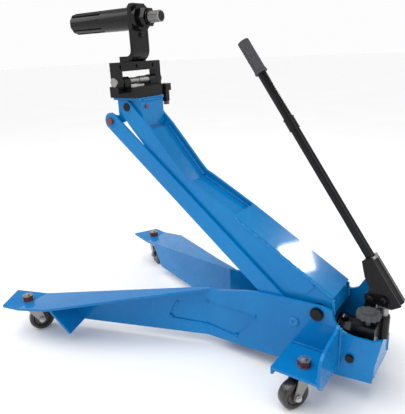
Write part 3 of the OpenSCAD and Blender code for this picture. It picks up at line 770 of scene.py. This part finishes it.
class JACK_OT_mandrel_thread(bpy.types.Operator):
    """Cut the thread on the mandrel stud and fit the lock screw under the nut"""
    bl_idname = "jack.mandrel_thread"
    bl_label = "Mandrel stud"

    def execute(self, context):
        pitch = context.scene.jack_detail.thread_pitch
        start, end = Vector((0, -0.1138, MANDREL_Z)), Vector((0, -0.0832, MANDREL_Z))
        stud = join_all([
            ribbed_bar(start, end, 12.5 * MM, pitch * 1.2, 0.8 * MM, sides=40, taper=0.9),
        ], "stud_thread")
        dress(stud, "dull_steel", "mandrel")
        under_nut = Vector((0, -0.148, MANDREL_Z - 0.036))
        screw = join_all([
            chamfered_hex(under_nut, (0, 1, 0), 9 * MM, 5 * MM),
            turned_ring(under_nut, (0, 1, 0), 3 * MM, 7 * MM, 1.4 * MM, 0.4 * MM),
        ], "collar_lock_screw")
        dress(screw, "black_paint", "yoke")
        return {"FINISHED"}


class JACK_OT_pump_fittings(bpy.types.Operator):
    """Fit the plunger gland, the side plug, the reservoir ring and the knob cap"""
    bl_idname = "jack.pump_fittings"
    bl_label = "Pump fittings"

    def execute(self, context):
        fittings = [
            turned_ring(at(-16, PLUNGER_PIN[0], 165.6), (0, 0, 1),
                        8.5 * MM, 11.6 * MM, 4 * MM),
            turned_ring(at(0, 349, RAM_Z), (0, 1, 0), 30 * MM, 36 * MM, 5 * MM, 1.2 * MM),
            turned_ring(at(0, 378, RAM_Z), (0, 1, 0), 30 * MM, 36 * MM, 5 * MM, 1.2 * MM),
            chamfered_hex(at(BLOCK_X, 402, 78), (1, 0, 0), 13 * MM, 6 * MM),
            chamfered_hex(at(BLOCK_X, 417, 140), (1, 0, 0), 10 * MM, 5 * MM),
            chamfered_hex(at(-BLOCK_X, 402, 78), (-1, 0, 0), 13 * MM, 6 * MM),
        ]
        dress(join_all(fittings, "pump_fittings"), "black_paint", "base")
        cap = join_all([
            turned_ring(at(*KNOB, 194.8), (0, 0, 1), 3 * MM, 12 * MM, 2.2 * MM, 0.9 * MM),
            chamfered_hex(at(*KNOB, 195), (0, 0, 1), 7 * MM, 3 * MM, 0.8 * MM),
        ], "knob_cap")
        dress(cap, "knob_plastic", "knob")
        gland = turned_ring(at(0, 343, RAM_Z), (0, 1, 0), 13.4 * MM, 19 * MM, 4 * MM, 1 * MM)
        gland.name = gland.data.name = "ram_gland"
        dress(gland, "dull_steel", "base")
        return {"FINISHED"}


class JACK_OT_caster_fittings(bpy.types.Operator):
    """Fit the stem ends, axle nuts and bearing rings of the casters"""
    bl_idname = "jack.caster_fittings"
    bl_label = "Caster fittings"

    def execute(self, context):
        pitch = context.scene.jack_detail.thread_pitch
        stems = []
        for short, name in (("fr", "front_right"), ("fl", "front_left"),
                            ("rr", "rear_right"), ("rl", "rear_left")):
            stem = self.joint("swivel_" + short)
            axle = self.joint("roll_" + short)
            place, direction = Vector(stem["pos_m"]), Vector(axle["axis"]).normalized()
            hub = Vector(axle["pos_m"])
            low, high = (Vector((place.x, place.y, z)) for z in STEM_END)
            stems.append(ribbed_bar(low, high, 6.3 * MM, pitch, 0.6 * MM,
                                    sides=28, taper=0.85))
            nuts = []
            for way in (direction, -direction):
                nuts.append(turned_ring(hub + way * AXLE_HALF * MM, way, 2 * MM, 7.2 * MM,
                                        1.2 * MM, 0.3 * MM))
                nuts.append(chamfered_hex(hub + way * (AXLE_HALF + 1) * MM, way, 9 * MM, 4 * MM))
            dress(join_all(nuts, "axle_nuts_" + name), "zinc_steel", "fork_" + short)
            rims = [turned_ring(hub + way * 8.1 * MM, way, 11 * MM, 19 * MM, 2.0 * MM, 0.8 * MM)
                    for way in (direction, -direction)]
            dress(join_all(rims, "wheel_rings_" + name), "wheel_plastic", "wheel_" + short)
        dress(join_all(stems, "stem_threads"), "zinc_steel", "base")
        return {"FINISHED"}

    def joint(self, name):
        return next(joint for joint in frame["record"]["behaviour"]["joints"]
                    if joint["name"] == name)


class JACK_PT_panel(bpy.types.Panel):
    """The jack's steps and settings in the sidebar"""
    bl_idname = "JACK_PT_panel"
    bl_label = "Clutch jack"
    bl_space_type = "VIEW_3D"
    bl_region_type = "UI"
    bl_category = "Clutch Jack"

    def draw(self, context):
        column = self.layout.column(align=True)
        for step in STEPS:
            column.operator(step.bl_idname)
        for settings in (context.scene.jack_finish, context.scene.jack_detail,
                         context.scene.jack_stage):
            box = self.layout.box()
            for name in settings.__annotations__:
                box.prop(settings, name)


STEPS = (
    JACK_OT_stage, JACK_OT_finishes, JACK_OT_grip, JACK_OT_handle_fittings,
    JACK_OT_arm_welds, JACK_OT_base_welds, JACK_OT_head_welds, JACK_OT_mandrel_thread,
    JACK_OT_pump_fittings, JACK_OT_caster_fittings,
)
CLASSES = (JackFinishSettings, JackDetailSettings, JackStageSettings) + STEPS + (JACK_PT_panel,)


def register():
    for kind in CLASSES:
        bpy.utils.register_class(kind)
    bpy.types.Scene.jack_finish = PointerProperty(type=JackFinishSettings)
    bpy.types.Scene.jack_detail = PointerProperty(type=JackDetailSettings)
    bpy.types.Scene.jack_stage = PointerProperty(type=JackStageSettings)


def unregister():
    del bpy.types.Scene.jack_stage
    del bpy.types.Scene.jack_detail
    del bpy.types.Scene.jack_finish
    for kind in reversed(CLASSES):
        bpy.utils.unregister_class(kind)


def main():
    register()
    for step in STEPS:
        group, name = step.bl_idname.split(".")
        getattr(getattr(bpy.ops, group), name)()


if __name__ == "__main__":
    main()
